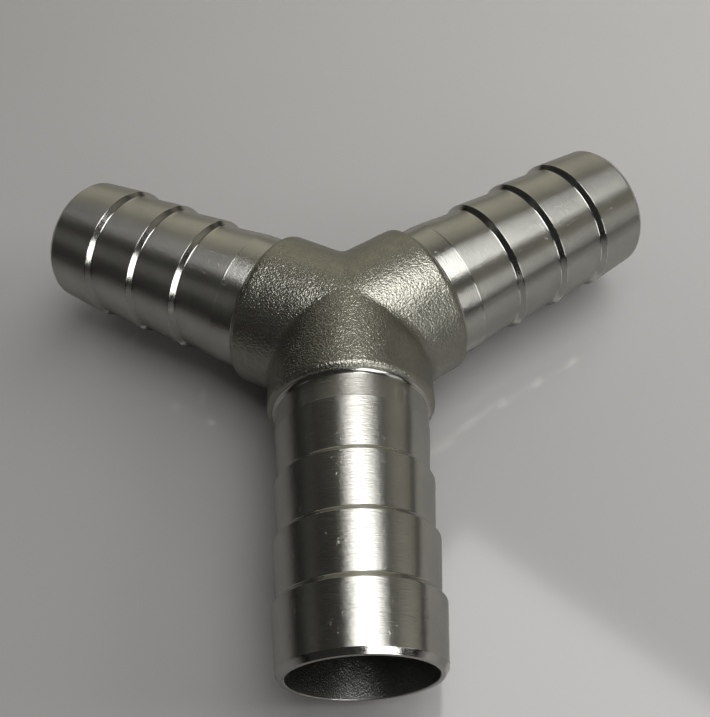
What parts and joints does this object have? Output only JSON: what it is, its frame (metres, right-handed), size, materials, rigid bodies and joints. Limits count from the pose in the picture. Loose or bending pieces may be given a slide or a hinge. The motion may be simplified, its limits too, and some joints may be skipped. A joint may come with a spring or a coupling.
{
  "type": "three-way hose barb fitting",
  "caption": "Equal Y-shaped hose connector: a cast hub joins three straight barbed tails, 120 degrees apart, with open bores that meet in the middle.",
  "frame": {"origin": "the hub's centre, where the three bore axes cross", "axes": "+Z is across the flat Y, up as it lies on a bench; -Y is along the front leg, out of its mouth"},
  "size_m": [0.1164, 0.1009, 0.0288],
  "materials": {
    "cast_steel": "as cast and blasted, matte, fine raised grain",
    "turned_steel": "turned bright, fine tool lines round the tail"
  },
  "bodies": {
    "root": {"hub_body": "cast_steel", "front_tail": "turned_steel", "right_tail": "turned_steel", "left_tail": "turned_steel"}
  },
  "joints": []
}
